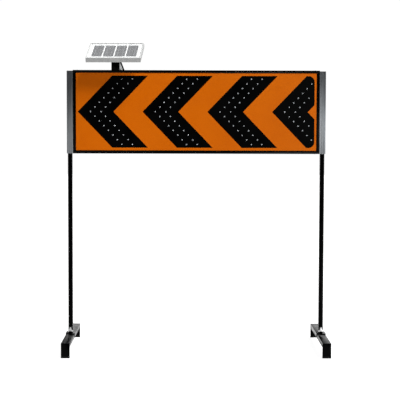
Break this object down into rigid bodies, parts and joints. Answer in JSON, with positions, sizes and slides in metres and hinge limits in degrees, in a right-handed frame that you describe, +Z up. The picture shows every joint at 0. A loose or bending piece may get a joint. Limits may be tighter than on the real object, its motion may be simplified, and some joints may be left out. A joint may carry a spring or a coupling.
{
  "type": "solar arrow board",
  "caption": "Free-standing solar LED chevron board: a wide orange sign with left-pointing black chevrons on square posts with bridge feet and a tilting solar panel.",
  "frame": {"origin": "on the floor, midway between the two posts and midway between the front and rear ends of the feet", "axes": "+X to the right seen from the front, the sign faces -Y, +Z up"},
  "size_m": [1.8884, 0.878, 2.2163],
  "materials": {
    "orange_sheet": "retroreflective sheeting on a rigid panel",
    "black_film": "smooth black film",
    "led_lens": "clear domed lens",
    "circuit_board": "solder mask",
    "black_coat": "glossy black powder coat",
    "grey_channel": "anodised, drawn lengthwise",
    "grey_plastic": "moulded",
    "zinc_steel": "zinc plated",
    "cover_sheet": "dark painted sheet",
    "battery_case": "moulded case",
    "controller_case": "moulded case",
    "rubber": "matt rubber",
    "knob_metal": "cast and tumbled",
    "black_plastic": "moulded",
    "panel_frame": "clear anodised",
    "panel_glass": "tempered solar glass",
    "panel_cells": "blue-grey silicon",
    "panel_back": "white film"
  },
  "bodies": {
    "sign_head": {"face_sheet": "orange_sheet", "chevron_1": "black_film", "chevron_2": "black_film", "chevron_3": "black_film", "chevron_4": "black_film", "leds_1": "led_lens", "leds_2": "led_lens", "leds_3": "led_lens", "leds_4": "led_lens", "led_boards": "circuit_board", "frame_top": "black_coat", "frame_bottom": "black_coat", "frame_left": "black_coat", "frame_right": "black_coat", "side_channel_left": "grey_channel", "side_channel_right": "grey_channel", "channel_caps": "grey_plastic", "channel_bolts": "zinc_steel", "back_cover": "cover_sheet", "stiffeners": "zinc_steel", "corner_brackets": "zinc_steel", "frame_screws": "zinc_steel", "cover_screws": "zinc_steel", "battery_box": "black_coat", "battery": "battery_case", "charge_controller": "controller_case", "door_hinge_pin": "zinc_steel", "box_gland": "black_plastic", "solar_mast": "black_coat", "mast_gusset": "grey_channel", "mast_brace": "black_coat", "mast_bolts": "zinc_steel"},
    "box_door": {"box_door": "black_coat", "door_seal": "rubber"},
    "door_latch": {"door_latch": "knob_metal"},
    "mode_knob": {"mode_knob": "black_plastic"},
    "solar_swivel": {"swivel_cradle": "black_coat", "tilt_screw": "zinc_steel"},
    "tilt_knob": {"tilt_knob": "knob_metal"},
    "solar_panel": {"solar_frame": "panel_frame", "solar_glass": "panel_glass", "solar_cells": "panel_cells", "solar_back_sheet": "panel_back", "panel_rail": "black_coat", "junction_box": "black_plastic"},
    "post_left": {"post_left": "black_coat"},
    "post_right": {"post_right": "black_coat"},
    "head_knob_left": {"head_knob_left": "knob_metal"},
    "head_knob_right": {"head_knob_right": "knob_metal"},
    "base_knob_left": {"base_knob_left": "knob_metal"},
    "base_knob_right": {"base_knob_right": "knob_metal"},
    "foot_left": {"foot_beam_left": "black_coat", "end_plates_left": "black_coat", "foot_socket_left": "black_coat", "edge_strips_left": "rubber"},
    "foot_right": {"foot_beam_right": "black_coat", "end_plates_right": "black_coat", "foot_socket_right": "black_coat", "edge_strips_right": "rubber"}
  },
  "joints": [
    {"name": "post_slide_left", "type": "slide", "parent": "sign_head", "child": "post_left", "axis": [0, 0, -1], "range_m": [0, 0.45]},
    {"name": "foot_slide_left", "type": "slide", "parent": "post_left", "child": "foot_left", "axis": [0, 0, -1], "range_m": [0, 0.12]},
    {"name": "head_knob_turn_left", "type": "hinge", "parent": "sign_head", "child": "head_knob_left", "pos_m": [-0.911, 0, 1.46], "axis": [0, 1, 0], "range_deg": [0, 360]},
    {"name": "base_knob_turn_left", "type": "hinge", "parent": "post_left", "child": "base_knob_left", "pos_m": [-0.911, 0, 0.133], "axis": [0, -1, 0], "range_deg": [0, 360]},
    {"name": "post_slide_right", "type": "slide", "parent": "sign_head", "child": "post_right", "axis": [0, 0, -1], "range_m": [0, 0.45]},
    {"name": "foot_slide_right", "type": "slide", "parent": "post_right", "child": "foot_right", "axis": [0, 0, -1], "range_m": [0, 0.12]},
    {"name": "head_knob_turn_right", "type": "hinge", "parent": "sign_head", "child": "head_knob_right", "pos_m": [0.911, 0, 1.46], "axis": [0, 1, 0], "range_deg": [0, 360]},
    {"name": "base_knob_turn_right", "type": "hinge", "parent": "post_right", "child": "base_knob_right", "pos_m": [0.911, 0, 0.133], "axis": [0, -1, 0], "range_deg": [0, 360]},
    {"name": "panel_swivel", "type": "hinge", "parent": "sign_head", "child": "solar_swivel", "pos_m": [-0.583, 0, 2.075], "axis": [0, 0, 1], "range_deg": [-80, 80]},
    {"name": "panel_tilt", "type": "hinge", "parent": "solar_swivel", "child": "solar_panel", "pos_m": [-0.583, 0, 2.107], "axis": [0.998, -0.0628, 0], "range_deg": [-24, 21]},
    {"name": "tilt_knob_turn", "type": "hinge", "parent": "solar_swivel", "child": "tilt_knob", "pos_m": [-0.583, 0, 2.107], "axis": [0.998, -0.0628, 0], "range_deg": [0, 360]},
    {"name": "door_swing", "type": "hinge", "parent": "sign_head", "child": "box_door", "pos_m": [-0.1375, 0.1427, 1.575], "axis": [0, 0, 1], "range_deg": [0, 110]},
    {"name": "latch_turn", "type": "hinge", "parent": "box_door", "child": "door_latch", "pos_m": [0.106, 0.1427, 1.575], "axis": [0, -1, 0], "range_deg": [0, 90]},
    {"name": "mode_knob_turn", "type": "hinge", "parent": "sign_head", "child": "mode_knob", "pos_m": [0.13, 0.0805, 1.625], "axis": [1, 0, 0], "range_deg": [0, 90]}
  ]
}
